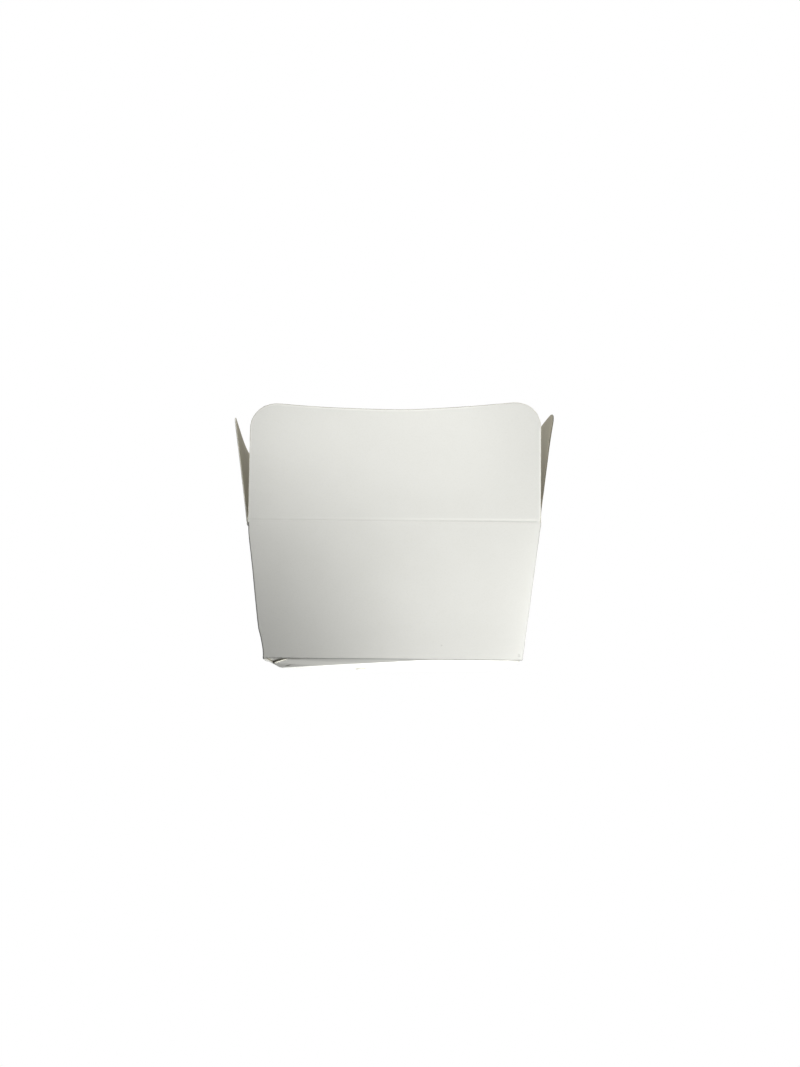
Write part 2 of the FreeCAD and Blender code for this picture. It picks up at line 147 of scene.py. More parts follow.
def spot_mask(nt, coord, centre, radius, wobble):
    """1 at a small mark on the board, 0 away from it."""
    d = nt.nodes.new("ShaderNodeVectorMath")
    d.operation = "DISTANCE"
    nt.links.new(coord, d.inputs[0])
    d.inputs[1].default_value = centre
    r = math_node(nt, "MULTIPLY_ADD", wobble, radius * 1.6)
    r.node.inputs[2].default_value = -radius * 0.8
    far = math_node(nt, "ADD", d.outputs["Value"], r)
    m = nt.nodes.new("ShaderNodeMapRange")
    m.inputs["From Min"].default_value = radius
    m.inputs["From Max"].default_value = radius * 0.35
    nt.links.new(far, m.inputs["Value"])
    return m.outputs[0]


def line_mask(nt, coord, centre, angle, half, width, wobble):
    """1 along a short line in the XY plane, fading to its ends."""
    m = nt.nodes.new("ShaderNodeMapping")
    m.vector_type = "TEXTURE"
    m.inputs["Location"].default_value = centre
    m.inputs["Rotation"].default_value = (0, 0, angle)
    m.inputs["Scale"].default_value = (half, width, width * 3)
    nt.links.new(coord, m.inputs["Vector"])
    d = nt.nodes.new("ShaderNodeVectorMath")
    d.operation = "LENGTH"
    nt.links.new(m.outputs["Vector"], d.inputs[0])
    far = math_node(nt, "ADD", d.outputs["Value"], math_node(nt, "MULTIPLY", wobble, 0.4))
    r = nt.nodes.new("ShaderNodeMapRange")
    r.inputs["From Min"].default_value = 1.25
    r.inputs["From Max"].default_value = 0.45
    nt.links.new(far, r.inputs["Value"])
    return r.outputs[0]


def board_face(name, light, dark, speck, rough, bump, fibre, highlight_gain=1.13, marks=(), lines=()):
    mat = bpy.data.materials.new(name)
    nt, bsdf = nodes_of(mat)
    tc = nt.nodes.new("ShaderNodeTexCoord").outputs["Object"]
    cloud = noise(nt, tc, 55.0, 3.0, 0.5)
    grain = noise(nt, tc, 1400.0, 5.0, 0.65)
    fine = noise(nt, tc, 5200.0, 2.0, 0.5)
    strand = noise(nt, tc, 900.0, 4.0, 0.6, (0.35, 0.35, 2.4))
    colour = ramp(nt, cloud, dark, light, 0.3, 0.62)
    flecks = ramp(nt, grain, speck, (1, 1, 1), 0.30, 0.52)
    colour = mixed(nt, 0.9, colour, flecks, "MULTIPLY")
    uneven = nt.nodes.new("ShaderNodeMapRange")
    uneven.inputs["From Min"].default_value = 0.3
    uneven.inputs["From Max"].default_value = 0.7
    uneven.inputs["To Min"].default_value = 0.75
    uneven.inputs["To Max"].default_value = 1.1
    nt.links.new(strand, uneven.inputs["Value"])
    # Two vertex attributes mix the colour toward a lighter tone, a painted highlight, and toward a darker tone,
    # painted shade, along creases, folds, feet and cut edges.
    for field, tone in (("painted_highlight", tuple(min(0.97, c * highlight_gain) for c in light)), ("dark", tuple(c * 0.45 for c in dark))):
        at = nt.nodes.new("ShaderNodeAttribute")
        at.attribute_name = field
        colour = mixed(nt, math_node(nt, "MULTIPLY", at.outputs["Fac"], uneven.outputs[0]), colour, tone)
    for centre, radius, strength in marks:
        mask = spot_mask(nt, tc, centre, radius, strand)
        colour = mixed(nt, math_node(nt, "MULTIPLY", mask, strength), colour, (0.30, 0.29, 0.26))
    for centre, angle, half, width, strength in lines:
        mask = line_mask(nt, tc, centre, angle, half, width, strand)
        colour = mixed(nt, math_node(nt, "MULTIPLY", mask, strength), colour, (0.16, 0.155, 0.13))
    nt.links.new(colour, bsdf.inputs["Base Color"])
    r = nt.nodes.new("ShaderNodeMapRange")
    r.inputs["From Min"].default_value = 0.3
    r.inputs["From Max"].default_value = 0.7
    r.inputs["To Min"].default_value = rough - 0.05
    r.inputs["To Max"].default_value = rough + 0.06
    nt.links.new(grain, r.inputs["Value"])
    nt.links.new(r.outputs[0], bsdf.inputs["Roughness"])
    bsdf.inputs["Specular IOR Level"].default_value = 0.32
    height = math_node(nt, "ADD", math_node(nt, "MULTIPLY", strand, fibre),
                       math_node(nt, "ADD", math_node(nt, "MULTIPLY", grain, 0.6),
                                 math_node(nt, "MULTIPLY", fine, 0.25)))
    b = nt.nodes.new("ShaderNodeBump")
    b.inputs["Strength"].default_value = bump
    b.inputs["Distance"].default_value = 0.00004
    nt.links.new(height, b.inputs["Height"])
    nt.links.new(b.outputs["Normal"], bsdf.inputs["Normal"])
    return mat


def board_edge(name):
    """Cut edge: pale pulp with fine layers and fluff."""
    mat = bpy.data.materials.new(name)
    nt, bsdf = nodes_of(mat)
    tc = nt.nodes.new("ShaderNodeTexCoord").outputs["Object"]
    pulp = noise(nt, tc, 2600.0, 5.0, 0.7)
    layer = noise(nt, tc, 700.0, 3.0, 0.6)
    colour = ramp(nt, pulp, (0.76, 0.74, 0.67), (0.95, 0.94, 0.88), 0.30, 0.58)
    tint = ramp(nt, layer, (0.93, 0.92, 0.88), (1, 1, 1), 0.4, 0.6)
    colour = mixed(nt, 1.0, colour, tint, "MULTIPLY")
    # The dark attribute mixes the cut edge toward brown-grey: painted shade on the walls' foot folds and the right
    # side flap's edge, and a darker line along the front flap's top edge.
    at = nt.nodes.new("ShaderNodeAttribute")
    at.attribute_name = "dark"
    colour = mixed(nt, at.outputs["Fac"], colour, (0.20, 0.18, 0.13))
    nt.links.new(colour, bsdf.inputs["Base Color"])
    bsdf.inputs["Roughness"].default_value = 0.9
    bsdf.inputs["Specular IOR Level"].default_value = 0.2
    b = nt.nodes.new("ShaderNodeBump")
    b.inputs["Strength"].default_value = 0.6
    b.inputs["Distance"].default_value = 0.00006
    nt.links.new(pulp, b.inputs["Height"])
    nt.links.new(b.outputs["Normal"], bsdf.inputs["Normal"])
    return mat


MARKS = [((0.0204, -0.0304, 0.0058), 0.0006, 0.22), ((0.0530, -0.0296, 0.0020), 0.0009, 0.30)]
# Two short dark lines painted on the underside of the glued part near the front left corner.
DARK_LINES = [((-0.0487, 0.0065, 0.0), -1.22, 0.0062, 0.0010, 0.95), ((-0.0462, 0.0005, 0.0), -0.95, 0.0042, 0.0009, 0.45)]
white = board_face("board_white_face", (0.845, 0.845, 0.818), (0.832, 0.832, 0.804), (0.972, 0.972, 0.965),
                   0.52, 0.35, 0.35, 1.13, MARKS, DARK_LINES)
grey = board_face("board_inner_face", (0.402, 0.375, 0.292), (0.357, 0.33, 0.254), (0.86, 0.85, 0.82),
                  0.72, 0.6, 0.8, 1.7)
edge = board_edge("board_cut_edge")
BOARD = [white, edge, grey]


# ------------------------------------------------------------------ mesh tools
def make(name, verts, faces, mats, painted_highlight=None, dark=None, angle=32):
    """Closed mesh from points in mm; faces carry their material slot."""
    me = bpy.data.meshes.new(name)
    me.from_pydata([tuple(c * 0.001 for c in v) for v in verts], [], faces)
    for m in BOARD:
        me.materials.append(m)
    me.polygons.foreach_set("material_index", mats)
    for field, values in (("painted_highlight", painted_highlight), ("dark", dark)):
        a = me.attributes.new(field, "FLOAT", "POINT")
        a.data.foreach_set("value", np.array(values if values is not None else [0.0] * len(verts), np.float32))
    bm = bmesh.new()
    bm.from_mesh(me)
    bmesh.ops.remove_doubles(bm, verts=bm.verts, dist=2e-7)
    bmesh.ops.dissolve_degenerate(bm, dist=1e-7, edges=bm.edges)
    bmesh.ops.recalc_face_normals(bm, faces=bm.faces)
    if bm.calc_volume(signed=True) < 0:
        bmesh.ops.reverse_faces(bm, faces=bm.faces)
    bm.to_mesh(me)
    bm.free()
    me.polygons.foreach_set("use_smooth", [True] * len(me.polygons))
    me.set_sharp_from_angle(angle=math.radians(angle))
    me.update()
    ob = bpy.data.objects.new(name, me)
    bpy.context.scene.collection.objects.link(ob)
    return ob


def loop_normals(pts):
    """Outward directions along a closed counter-clockwise outline."""
    p = np.array(pts, float)
    t = np.roll(p, -1, 0) - np.roll(p, 1, 0)
    t /= np.maximum(np.linalg.norm(t, axis=1), 1e-9)[:, None]
    return np.stack([t[:, 1], -t[:, 0]], 1)


def rounded(corners, radius, steps=4):
    """Counter-clockwise polygon with its corners rounded."""
    out = []
    n = len(corners)
    for i in range(n):
        p = Vector(corners[i])
        a = Vector(corners[i - 1]) - p
        b = Vector(corners[(i + 1) % n]) - p
        r = radius[i] if isinstance(radius, (list, tuple)) else radius
        half = a.angle(b) / 2
        cut = min(r / math.tan(half), a.length * 0.45, b.length * 0.45) if r > 0 else 0
        if cut <= 1e-6:
            out.append(tuple(p))
            continue
        q0, q1 = p + a.normalized() * cut, p + b.normalized() * cut
        for k in range(steps + 1):
            s = k / steps
            out.append(tuple(q0 * (1 - s) ** 2 + p * 2 * s * (1 - s) + q1 * s * s))
    return out


def densify(pts, step):
    out = []
    n = len(pts)
    for i in range(n):
        a, b = np.array(pts[i]), np.array(pts[(i + 1) % n])
        k = max(1, int(np.linalg.norm(b - a) / step))
        for j in range(k):
            out.append(tuple(a + (b - a) * j / k))
    return out


def slab(name, outline, lower, upper, place, low_mat, high_mat, bevel=0.05, low_free=None):
    """Flat board piece: an outline, its two heights, and where a point goes."""
    pts = np.array(outline, float)
    area = 0.5 * np.sum(pts[:, 0] * np.roll(pts[:, 1], -1) - np.roll(pts[:, 0], -1) * pts[:, 1])
    if area < 0:
        pts = pts[::-1]
    nrm = loop_normals(pts)
    inner = pts - nrm * bevel
    rings = [(inner, lower), (pts, lower + bevel), (pts, upper - bevel), (inner, upper)]
    verts, faces, mats = [], [], []
    n = len(pts)
    for ring, h in rings:
        verts += [place(x, y, h) for x, y in ring]
    for r in range(3):
        for i in range(n):
            j = (i + 1) % n
            faces.append((r * n + i, r * n + j, (r + 1) * n + j, (r + 1) * n + i))
            mats.append(EDGE)
    faces.append(tuple(range(n))[::-1])
    mats.append(low_mat)
    faces.append(tuple(range(3 * n, 4 * n)))
    mats.append(high_mat)
    return make(name, verts, faces, mats)


# ------------------------------------------------------------------ the flaps
class Panel:
    """A flap's frame: u along the crease, s up the board, n out of its outer face."""

    def __init__(self, base, u, s, n, warp):
        self.base, self.u, self.s, self.n = (np.array(v, float) for v in (base, u, s, n))
        self.warp = warp

    def at(self, u, s, n):
        p = self.base + self.u * u + self.s * s + self.n * (n + self.warp(u, s))
        return tuple(p)


def long_top(u, skew=0.0):
    w, side, r, R = 62.5, 40.4, 11.3, 485.0
    side += skew * u / w
    cx = w - r
    k = R + r
    cy = side + math.sqrt(k * k - cx * cx)
    join = cx - cx / k * r
    u = abs(u)
    if u <= join:
        return cy - math.sqrt(R * R - u * u)
    return side + math.sqrt(max(0.0, r * r - (u - cx) ** 2))


def side_top(reach):
    w, r = 36.9, 6.0

    def top(u):
        u = abs(u)
        if u <= w - r:
            return reach
        return reach - r + math.sqrt(max(0.0, r * r - (u - w + r) ** 2))
    return top


def front_top(u):
    """The front flap's free edge: a little skewed, and trimmed slightly lower, most of all in its middle."""
    level = min(1.0, max(0.0, (60.0 - abs(u)) / 8.0))
    return long_top(u, 0.7) - 0.25 * level * level * (3 - 2 * level) - 0.30 * math.exp(-((u - 5.0) / 15.0) ** 2)


def columns(w, r, step):
    flat = w - r
    n = int(2 * flat / step)
    us = list(np.linspace(-flat, flat, n + 1))
    arc = [flat + r * math.sin(math.radians(d)) for d in (14, 28, 40, 52, 63, 72, 79, 85, 90)]
    rim = [w - 0.9, w - 0.45]
    right = sorted(arc + rim)
    return [-a for a in reversed(right)] + us + right


LOW = [-1.0, -0.86, -0.72, -0.6, -0.5, -0.4, -0.3, -0.22, -0.14, -0.06, 0.02, 0.1, 0.18, 0.26, 0.34, 0.43, 0.53,
       0.65, 0.78, 0.92, 1.06, 1.2, 1.4, 1.7, 2.1]


def flap(name, panel, top, w, r, step, rows=22, taper=0.0, drift=0.0, crease=lambda u: 0.5, rim_light=None,
         rim_dark=None, rim_inner=None):
    us = columns(w, r, step)
    nu, ns = len(us), len(LOW) + rows + 2
    h = T / 2

    def grid(b):
        """The outline drawn in by b, as columns of points."""
        g = np.zeros((nu, ns, 2))
        for i, u in enumerate(us):
            if abs(u) > w - 1e-6:
                nx, ny = math.copysign(1.0, u), 0.0
            else:
                d = 1e-4
                k = (top(u + d) - top(u - d)) / (2 * d)
                nx, ny = -k / math.hypot(k, 1), 1 / math.hypot(k, 1)
            t = top(u) - b * ny
            for j in range(ns):
                if j < len(LOW):
                    q = LOW[j]
                elif j < ns - 3:
                    q = LOW[-1] + (t - 1.2 - LOW[-1]) * (j - len(LOW) + 1) / (rows - 1)
                else:
                    q = t - (0.9, 0.42, 0.0)[j - ns + 3]
                lift = max(0.0, q) / 50.0
                g[i, j] = ((u - b * nx) * (1 - taper / w * lift) + drift * lift + 1.6 * drift * min(1.0, max(0.0, q) / 3.0), q)
        return g

    def rim(i, j):
        """How near a point of the face is to the cut edge: 1 at the edge, 0 from 0.9 mm in."""
        far = min(w - abs(us[i]), (0.9, 0.42, 0.0)[j - ns + 3] if j >= ns - 3 else 9.0)
        return min(1.0, max(0.0, 1 - far / 0.9))

    def outer(q, u):
        deep = 0.35 + 0.65 * min(1.0, crease(u))
        return h + deep * (-0.13 * math.exp(-((q - 0.08) / 0.17) ** 2) + 0.06 * math.exp(-((q - 0.85) / 0.38) ** 2)) \
            + 0.012 * math.exp(-((q + 0.6) / 0.2) ** 2)

    def inner(q, u):
        return -h - 0.12 * math.exp(-(q / 0.36) ** 2)

    border = ([(i, 0) for i in range(nu)] + [(nu - 1, j) for j in range(1, ns)]
              + [(i, ns - 1) for i in range(nu - 2, -1, -1)] + [(0, j) for j in range(ns - 2, 0, -1)])
    face_o, face_i, rim_o, rim_i = grid(0.26), grid(0.06), grid(0.0), grid(0.0)
    verts, painted_highlight, dark, index = [], [], [], {}
    for side, g, fn in (("o", face_o, outer), ("i", face_i, inner)):
        for i in range(nu):
            for j in range(ns):
                index[side, i, j] = len(verts)
                u, q = g[i, j]
                verts.append(panel.at(u, q, fn(q, u)))
                # Outer face: a painted highlight on a band just above the crease and along the cut edges, painted
                # shade in the crease's groove. Inner face: a painted highlight along the rim, painted shade at the
                # crease.
                k = crease(u)
                if side == "o":
                    light = rim(i, j) * rim_light(u, q) if rim_light and q > 0.5 else 0.0
                    painted_highlight.append(max(k * math.exp(-((q - 0.95) / 0.36) ** 2), light))
                    dark.append(0.47 * k * math.exp(-((q - 0.10) / 0.14) ** 2))
                else:
                    painted_highlight.append(rim(i, j) * rim_inner(u, q) if rim_inner else 0.0)
                    dark.append(0.25 * math.exp(-(q / 0.4) ** 2))
    rims = []
    for i, j in border:
        a = len(verts)
        u, q = rim_o[i, j]
        verts.append(panel.at(u, q, outer(q, u) - (0.11 if j else 0.05)))
        u, q = rim_i[i, j]
        verts.append(panel.at(u, q, inner(q, u) + 0.06))
        # Darkening on the cut edge: painted shade on the right side flap, a darker line along the front flap's top.
        k = rim_dark(u, q) if rim_dark else 0.0
        painted_highlight += [0.0, 0.0]
        dark += [k, k]
        rims.append((a, a + 1))
    faces, mats = [], []
    for i in range(nu - 1):
        for j in range(ns - 1):
            faces.append((index["o", i, j], index["o", i + 1, j], index["o", i + 1, j + 1], index["o", i, j + 1]))
            mats.append(OUT)
            faces.append((index["i", i, j], index["i", i, j + 1], index["i", i + 1, j + 1], index["i", i + 1, j]))
            mats.append(INN)
    n = len(border)
    for k in range(n):
        m = (k + 1) % n
        o0, o1 = index["o", *border[k]], index["o", *border[m]]
        i0, i1 = index["i", *border[k]], index["i", *border[m]]
        faces += [(o0, rims[k][0], rims[m][0], o1), (rims[k][0], rims[k][1], rims[m][1], rims[m][0]),
                  (rims[k][1], i0, i1, rims[m][1])]
        mats += [EDGE] * 3
    return make(name, verts, faces, mats, painted_highlight, dark)


def warp_front(u, s):
    t = max(0.0, s) / 50.0
    return 0.08 * t * t * (1 - (u / 62.5) ** 2) + t * t * (-0.25 + 0.45 * u / 62.5)


def warp_rear(u, s):
    t = max(0.0, s) / 50.0
    return 0.25 * t * t * (0.4 + (u / 62.5) ** 2)


def warp_left(u, s):
    t = max(0.0, s) / 50.6
    across = curve(u + 36.9, [(0, 0.0), (14, 1.0), (28, 2.0), (42, 2.75), (52, 2.85), (62, 2.3), (73.8, 1.1)])
    return 1.05 * t * (0.75 + 0.25 * t) + across * t ** 1.15


def warp_right(u, s):
    t = max(0.0, s) / 53.2
    near = curve(t, [(0, 0), (0.04, -0.4), (0.12, -0.62), (0.25, -0.5), (0.5, -0.3), (0.7, -0.1), (0.88, 0.36), (1.0, 0.75)])
    return near * math.exp(-(36.9 - u) / 30.0) - 4.6 * t ** 1.3 * (1 - math.exp(-(36.9 - u) / 32.0))


def front_crease(u):
    """The crease's painted highlight and painted shade lines, clear on the right and faint on the left."""
    return (0.05 + 0.95 * max(0.0, (u + 62.5) / 125.0) ** 1.3) * min(1.0, max(0.0, (61.4 - u) / 0.5))


def front_rim(u, s):
    """Painted highlight on the cut edge: clear down both sides and round the left ear, faint round the right one."""
    if s < 41:
        return 1.0 if u > 0 else 0.6
    return curve(u, [(-62.5, 0.75), (-41, 0.8), (-20, 1.1), (5, 1.0), (31, 0.9), (38, 0.35), (46, 0.1), (62.5, 0.1)])


def front_rim_dark(u, s):
    """Greyed cut edge along the top."""
    return curve(u, [(-62.5, 0.55), (-30, 0.85), (20, 0.85), (38, 0.75), (48, 0.1), (62.5, 0.0)]) if s > 35 else 0.0


yl = half_d(Z_LONG) - SKIN / 2
xs = half_w(Z_SIDE) - SKIN / 2
PANELS = {
    "front": Panel((0, -yl, Z_LONG), (1, 0, 0), (0, -SI, CO), (0, -CO, -SI), warp_front),
    "rear": Panel((0, yl, Z_LONG), (-1, 0, 0), (0, SI, CO), (0, CO, -SI), warp_rear),
    "left": Panel((-xs, 0, Z_SIDE), (0, 1, 0), (-SI, 0, CO), (-CO, 0, -SI), warp_left),
    "right": Panel((xs, 0, Z_SIDE), (0, -1, 0), (SI, 0, CO), (CO, 0, -SI), warp_right),
}
NODE = {"front": "front_flap", "rear": "rear_flap", "left": "left_side_flap", "right": "right_side_flap"}
for body, panel in PANELS.items():
    if body in ("front", "rear"):
        ahead = body == "front"
        # Painted highlights along the flaps' cut edges; on the front flap also the crease's painted highlight and
        # painted shade.
        piece = flap("closing_flap_" + body, panel, front_top if ahead else long_top, 62.5, 11.3, 2.0,
                     taper=-0.4 if ahead else 0.0, drift=0.12 if ahead else 0.0,
                     crease=front_crease if ahead else lambda u: 0.5,
                     rim_light=front_rim if ahead else lambda u, s: 0.5,
                     rim_dark=front_rim_dark if ahead else None)
    else:
        reach = 50.6 if body == "left" else 53.2
        # Side flaps: a painted highlight along the cut edges, on the left one also along the inner face's rim,
        # strongest near the front; painted shade on the right one's cut edge, strongest along its front edge.
        piece = flap("dust_flap_" + body, panel, side_top(reach), 36.9, 6.0, 2.0, taper=0.8,
                     rim_light=lambda u, s: 0.4,
                     rim_inner=(lambda u, s: 0.9 if u < -30 and s < 40 else 0.2) if body == "left" else None,
                     rim_dark=(lambda u, s: 1.0 if u > 25 and s > 1.5 else 0.5) if body == "right" else None)
    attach(piece, body)
    piece.parent = None
    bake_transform(piece)
    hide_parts(NODE[body])

# ------------------------------------------------------------------ the walls
def arc_corner(n=7):
    """Insets (from the face before, from the face after) round a folded corner."""
    out = []
    for k in range(n):
        a = math.radians(90.0 * k / (n - 1))
        out.append((FOLD * (1 - math.cos(a)), FOLD * (1 - math.sin(a))))
    return out


def seam_corner():
    """Rear left: the rear wall's fold tucked behind the left wall's cut edge."""
    return [(0.0, T + 0.62), (0.05, T + 0.30), (0.2, T + 0.10), (0.42, T + 0.02), (0.42, T - 0.01),
            (0.12, T - 0.02), (0.07, T - 0.08), (0.07, 0.07), (0.13, 0.0)]


SIDES = ["front", "right", "rear", "left"]
bands_low = {"front": (-43.9, 54.2), "right": (-19.7, 2.6), "rear": (-43.9, 18.5), "left": (-19.7, 2.6)}
ring = []   # (outer(z) -> xy, inner(z) -> xy, top, foot, outward xy, side, fraction)
INNER_R = 0.18


def corner_points(side_before, index, insets):
    """Corner between two sides, as functions of height."""
    sx = {"front": 1, "right": 1, "rear": -1, "left": -1}[side_before]
    sy = {"front": -1, "right": 1, "rear": 1, "left": -1}[side_before]
    pts = []
    n = len(insets)
    for k, (p, q) in enumerate(insets):
        # p is the inset from the face before the corner, q from the face after it
        if side_before in ("front", "rear"):
            dx, dy = q, p
        else:
            dx, dy = p, q
        a = math.radians(90.0 * k / (n - 1))
        ip, iq = INNER_R * (1 - math.cos(a)), INNER_R * (1 - math.sin(a))
        ix, iy = (iq, ip) if side_before in ("front", "rear") else (ip, iq)

        def outer(z, dx=dx, dy=dy):
            return (sx * (half_w(z) - dx), sy * (half_d(z) - dy))

        def inner(z, ix=ix, iy=iy):
            return (sx * (half_w(z) - SKIN - ix), sy * (half_d(z) - SKIN - iy))
        pts.append((outer, inner, n, k))
    return pts


for si, side in enumerate(SIDES):
    long_side = side in ("front", "rear")
    turn = {"front": (1, 0, 0, -1), "right": (0, 1, 1, 0), "rear": (-1, 0, 0, 1), "left": (0, -1, -1, 0)}[side]
    along, out = np.array(turn[:2], float), np.array(turn[2:], float)
    reach0 = (54.7 if long_side else 29.6) - FOLD
    flap_half = 62.5 if long_side else 36.9
    top_low = (Z_LONG if long_side else Z_SIDE) - STRIP * CO
    reach_top = (half_w(top_low) if long_side else half_d(top_low)) - FOLD
    band = bands_low[side]
    fs = set(np.linspace(-1, 1, 53 if long_side else 33))
    f_top = min(0.9995, flap_half / reach_top)
    for f in (-f_top, f_top):
        fs |= {f - 0.0004, f + 0.0004}
    for v in band:
        fs |= {v / reach0 - 0.002, v / reach0 + 0.002}
    fs = sorted(f for f in fs if -1 <= f <= 1)
    first_cut = T + 0.62 if side == "left" else FOLD
    for f in fs:
        def outer(z, f=f, along=along, out=out, long_side=long_side, side=side):
            half = (half_w(z) if long_side else half_d(z)) - FOLD
            face = half_d(z) if long_side else half_w(z)
            lo, hi = -half, half
            if side == "rear":
                hi = half + FOLD - (T + 0.62)
            if side == "left":
                lo = -(half + FOLD - 0.13)
            pos = lo + (hi - lo) * (f + 1) / 2
            p = along * pos + out * face
            return (p[0], p[1])

        def inner(z, f=f, along=along, out=out, long_side=long_side):
            half = (half_w(z) if long_side else half_d(z)) - SKIN - INNER_R
            face = (half_d(z) if long_side else half_w(z)) - SKIN
            p = along * (half * f) + out * face
            return (p[0], p[1])
        top = top_low if abs(f) <= f_top else (57.5 if long_side else 57.25)
        foot = 0.0 if band[0] / reach0 < f < band[1] / reach0 else T
        if side == "front" and f < 0:           # pressed down beside the slit
            foot = min(foot, 0.12)
        if side == "left" and f * reach0 > 0:   # the foot bulges down from here to the front left fold
            foot = 0.0
        ring.append((outer, inner, top, foot, out, side, f))
    insets = seam_corner() if side == "rear" else arc_corner()
    pts = corner_points(side, si, insets)
    nxt = SIDES[(si + 1) % 4]
    o2 = {"front": (0, -1), "right": (1, 0), "rear": (0, 1), "left": (-1, 0)}[nxt]
    for k, (outer, inner, n, kk) in enumerate(pts):
        if 0 < k < n - 1 or side == "rear":
            a = math.radians(90.0 * kk / (n - 1))
            d = out * math.cos(a) + np.array(o2, float) * math.sin(a)
            foot = 0.12 * k / (n - 1) if side == "left" else 0.0 if side == "front" else T
            ring.append((outer, inner, 57.5, foot, d, "corner" if side != "rear" else "seam", k))


def bow(side, f, z):
    t = min(1.0, max(0.0, z / 56.0))
    shape = math.sin(math.pi * t) * (1 - f * f)
    amount = {"front": 0.12, "left": 0.55, "right": 0.30, "rear": 0.20}.get(side, 0.0)
    return amount * shape


def gauss(v, centre, width):
    return math.exp(-((v - centre) / width) ** 2)


def settle(x, y, z):
    """Sideways shift that leaves the two front folds a little uneven, and the left one pinched at its ends."""
    edge_l = ((x + half_w(z)) ** 2 + (y + half_d(z)) ** 2)
    near = math.exp(-edge_l / 9.0)
    wide = math.exp(-((x + half_w(z)) ** 2) / 60.0) * math.exp(-((y + half_d(z)) ** 2) / 300.0)
    right = math.exp(-((half_w(z) - x) ** 2) / 60.0) * math.exp(-((y + half_d(z)) ** 2) / 300.0)
    return (0.45 * near * gauss(z, 57.5, 4.0)
            + wide * curve(z, [(0, -0.08), (2.7, 0.36), (5.5, 0.34), (8, 0.2), (10, -0.05), (12.5, -0.38), (25, -0.2), (40, 0.15), (57.5, 0.25)])
            - right * 0.2 + (0.4 * gauss(z, 0.0, 2.0) * gauss(y, -21.0, 6.0) if x < -50 else 0.0))


def sag(x, y, z):
    """The front foot hangs a little lower towards its right end, the left foot beside the front left fold."""
    hang = 0.24 * min(1.0, max(0.0, (x + 5) / 45)) * gauss(y, -29.6, 3.0)
    if x < -53.5:
        hang += 0.60 * gauss(y, -23.0, 7.0)
    return hang * math.exp(-max(0.0, z) / 1.2)


ROWS = 34
verts, painted_highlight, dark, cols = [], [], [], []
for outer, inner, top, foot, out, side, f in ring:
    zs = [top - 0.05] + [top - 0.05 + (foot + 0.55 - top + 0.05) * k / ROWS for k in range(1, ROWS + 1)]
    profile = [(0.0, z) for z in zs]
    for k in range(1, 6):                   # foot fold
        t = k / 5
        profile.append((0.55 * t * t, foot + 0.55 * (1 - t) ** 2))
    profile.append((0.55, foot + T))
    profile.append((SKIN + 0.02, foot + T + 0.12))
    zi = [foot + T + 0.3 + (top - 0.05 - foot - T - 0.3) * k / ROWS for k in range(ROWS + 1)]
    profile += [(SKIN, z) for z in zi]
    profile += [(SKIN - 0.05, top), (0.05, top)]
    col = []
    for inset, z in profile:
        po, pi = np.array(outer(z)), np.array(inner(z))
        p = po + (pi - po) * (inset / SKIN)
        if side in SIDES:
            p = p + out * bow(side, f, z)
        col.append(len(verts))
        verts.append((p[0] + settle(p[0], p[1], z), p[1], z - sag(p[0], p[1], z)))
        on_face = inset < 0.4 * SKIN
        front = on_face and side == "front"
        edge_r = half_w(z) - p[0]
        # Painted highlights on the outer face: a band just above the foot on every wall, stronger on the front wall,
        # with more on its lower right and along its right fold.
        bright = 0.0
        if front:
            low = min(1.0, max(0.0, (p[0] + 45) / 35))
            bright += ((0.35 + 0.3 * low) * gauss(z, foot + 0.85, 0.45) + 0.40 * low * gauss(z, 0.0, 7.0)
                       + 0.62 * math.exp(-edge_r / 4.5) * (0.45 + 0.55 * (1 - z / 57)))
        elif on_face:
            bright += 0.25 * gauss(z, foot + 1.0, 0.4)
        painted_highlight.append(min(1.0, bright))
        # Painted shade: a dark line along the foot fold, strongest on most of the front wall, and a darker strip under
        # the left wall's foot towards the front.
        line = gauss(z, foot + 0.12, 0.16) if z < foot + 0.6 and inset < SKIN * 0.99 else 0.0
        shade = (0.75 if side == "front" and p[0] > -44 else 0.35) * line
        if side == "left" and f > 0 and z < foot + 0.3 and inset < 1.05 * SKIN:
            shade = 0.30
        if side == "corner" and on_face and p[1] < 0:
            # painted shade along the rounding of the two front folds
            shade = max(shade, 0.78 * min(1.0, (7 - f) / 3.0) if p[0] < 0 else 0.72 * min(1.0, f / 3.0))
        dark.append(shade)
    cols.append(col)
faces, mats = [], []
m = len(cols[0])
n_out = 1 + ROWS + 5                        # rows on the outer face and foot fold
for c in range(len(cols)):
    d = (c + 1) % len(cols)
    seam_edge = ring[c][5] == "seam" and ring[d][5] == "seam" and 4 <= ring[c][6] <= 7
    for r in range(m):
        q = (r + 1) % m
        faces.append((cols[c][r], cols[d][r], cols[d][q], cols[c][q]))
        if r < n_out - 1:
            mats.append(EDGE if seam_edge else OUT)
        elif r < n_out + 1:
            mats.append(OUT if ring[c][3] < 0.01 and ring[d][3] < 0.01 and ring[c][4][0] < -0.1 else EDGE)
        elif r < m - 3:
            mats.append(INN)
        else:
            mats.append(EDGE)
walls = make("tray_walls", verts, faces, mats, painted_highlight, dark)
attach(walls, "tray")
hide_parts("box_body")

# ------------------------------------------------------------------ the base
def level(x, y, z):
    return (x, y, z)


def half_turn(pts):
    return [(-x, -y) for x, y in pts]


def pressed(x, y, z):
    """The glued part's free corner hangs a little at the slit."""
    return (x, y, z - 0.25 * gauss(y, -25.0, 9.0) * gauss(min(0.0, -43.9 - x), 0.0, 5.0))


